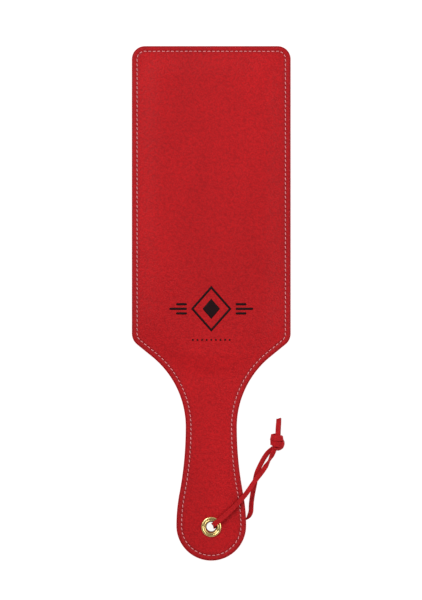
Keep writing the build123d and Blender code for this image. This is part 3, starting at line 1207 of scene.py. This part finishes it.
# The bore and the groove get the near-black brass: partly dirt, partly painted shade
for polygon in rolled.data.polygons:
    reach = (polygon.center.to_2d() - EYELET.to_2d()).length
    in_bore = reach < SHADE_BORE_REACH and BACK_Z < polygon.center.z < FACE_Z + SHADE_BORE_RISE
    in_groove = GROOVE_INSIDE < reach < GROOVE_OUTSIDE and polygon.center.z > FACE_Z
    if in_bore or in_groove:
        polygon.material_index = 1
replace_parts(rolled, "eyelet_flange")
washer_profile = [
    (HOLE_RADIUS, washer_high.z + 0.00008),
    (0.0067, washer_high.z + 0.00012),
    (0.0070, washer_high.z + 0.00010),
    (0.0070, washer_low.z + 0.00020),
    (0.0069, washer_low.z + 0.00010),
    (0.0066, washer_low.z + 0.00002),
    (HOLE_RADIUS, washer_low.z + 0.00002),
]
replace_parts(lathe("eyelet_back_washer", washer_profile), "eyelet_washer")

# ---- Printed emblem ----

EMBLEM_MIDDLE = Vector((0.0, -0.004))
DIAMOND_OUTSIDE = (0.015, 0.017)
DIAMOND_INSIDE = (0.0129, 0.0146)
DIAMOND_CORE = (0.0065, 0.0075)
BAR_ROWS = [(0.0034, 0.008), (0.0, 0.013), (-0.0034, 0.008)]  # height above the middle, and length
BAR_GAP = 0.018
BAR_THICKNESS = 0.0017
DOT_COUNT = 9
DOT_PITCH = 0.0034
DOT_DROP = 0.023
DOT_RADIUS = 0.0007
DOT_POINTS = 14
FILM_GRID, FILM_CLEAR = 0.0011, 0.0006
FILM_TOP, FILM_FOOT = 0.00010, 0.00001
FILM_STEP = 0.0009


def film(name, outlines):
    """A thin printed film that follows the leather's front."""

    def over_leather(lift):
        return lambda p: FACE_Z + crown(p.x, p.y) + leather_lift(p.x, p.y, FRONT_SEED) + lift

    vertices, faces = [], []
    for loops in outlines:
        made, sides = slab(loops, FILM_GRID, FILM_CLEAR, over_leather(FILM_TOP), over_leather(FILM_FOOT))
        faces += [tuple(len(vertices) + i for i in face) for face in sides]
        vertices += made
    return new_piece(name, vertices, faces, ink, "paddle")


def divided(corners):
    """A closed polygon with its sides divided."""
    made = []
    corners = [Vector(c) for c in corners]
    for a, b in zip(corners, corners[1:] + corners[:1]):
        count = max(1, round((b - a).length / FILM_STEP))
        made += [a.lerp(b, i / count) for i in range(count)]
    return made


def diamond(size, turn=1):
    """A diamond round the emblem's middle. A turn of -1 runs its corners the other way, as a hole's do."""
    wide, tall = size
    corners = [(wide, 0), (0, tall), (-wide, 0), (0, -tall)][::turn]
    return divided([EMBLEM_MIDDLE + Vector(corner) for corner in corners])


def bar(x, y, length):
    """A bar with round ends."""
    radius = BAR_THICKNESS / 2
    half = length / 2 - radius
    right = arc((x + half, y), radius, -90, 90, 6)
    left = arc((x - half, y), radius, 90, 270, 6)
    return divided(right + left)


shapes = [[diamond(DIAMOND_OUTSIDE), diamond(DIAMOND_INSIDE, -1)], [diamond(DIAMOND_CORE)]]
for row, length in BAR_ROWS:
    for side in (-1, 1):
        middle = side * (BAR_GAP + length / 2)
        shapes.append([bar(middle, EMBLEM_MIDDLE.y + row, length)])
for number in range(DOT_COUNT):
    x = (number - (DOT_COUNT - 1) / 2) * DOT_PITCH
    shapes.append([circle(Vector((x, EMBLEM_MIDDLE.y - DOT_DROP)), DOT_RADIUS, DOT_POINTS)])
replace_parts(film("emblem_print", shapes), "printed_emblem")

# ---- The board keeps its CAD shape ----

board = frame["nodes"]["stiffener_board"]
board.data.materials.clear()
board.data.materials.append(fibre_board)

# ---- Floor and light ----

FLOOR_REACH = 3.0
FLOOR_GAP = 0.00015
TABLE_GLOW = 0.92

floor_mesh = bpy.data.meshes.new("floor")
corners = [(x * FLOOR_REACH, y * FLOOR_REACH, 0) for x, y in ((-1, -1), (1, -1), (1, 1), (-1, 1))]
floor_mesh.from_pydata(corners, [], [(0, 1, 2, 3)])
floor = new_object("floor", floor_mesh)
floor.location.z = cad_low.z - FLOOR_GAP
table = Shader("opal table", Roughness=0.9, Specular_IOR_Level=0.1, Emission_Strength=TABLE_GLOW)
table.surface.inputs["Emission Color"].default_value = (1.0, 1.0, 1.0, 1.0)
table.colour(table.ramp(table.noise(30.0), [(0.3, (0.15, 0.15, 0.15)), (0.7, (0.17, 0.17, 0.17))]))
floor.data.materials.append(table.material)

# The room's grey by how high the direction points, from level to straight up:
# bright at the sides and dark overhead, so that the face shows no haze.
ROOM_GREYS = [(0.0, 0.95), (0.45, 1.0), (0.8, 0.62), (1.0, 0.12)]
ROOM_STRENGTH = 0.62

world = bpy.data.worlds.new("world")
bpy.context.scene.world = world
world.use_nodes = True
room = world.node_tree
direction = room.nodes.new("ShaderNodeTexCoord")
parts = room.nodes.new("ShaderNodeSeparateXYZ")
room.links.new(direction.outputs["Generated"], parts.inputs["Vector"])
shades = room.nodes.new("ShaderNodeValToRGB")
room.links.new(parts.outputs["Z"], shades.inputs["Fac"])
for position, _ in ROOM_GREYS[1:-1]:
    shades.color_ramp.elements.new(position)
for element, (position, grey) in zip(shades.color_ramp.elements, ROOM_GREYS):
    element.position = position
    element.color = (grey, grey, grey, 1.0)
background = room.nodes["Background"].inputs
room.links.new(shades.outputs["Color"], background["Color"])
background["Strength"].default_value = ROOM_STRENGTH

SOFTBOX_SIZE = 1.1


def softbox(name, place, power):
    """A square light that faces the paddle."""
    data = bpy.data.lights.new(name, "AREA")
    data.shape = "SQUARE"
    data.size = SOFTBOX_SIZE
    data.energy = power
    light = new_object(name, data)
    light.location = place
    light.rotation_mode = "QUATERNION"
    light.rotation_quaternion = (-Vector(place)).to_track_quat("-Z", "Y")


softbox("key", (-1.0, 0.9, 1.25), 25.0)
softbox("fill", (1.2, 0.1, 1.2), 14.0)

bpy.context.scene.view_settings.view_transform = "Standard"
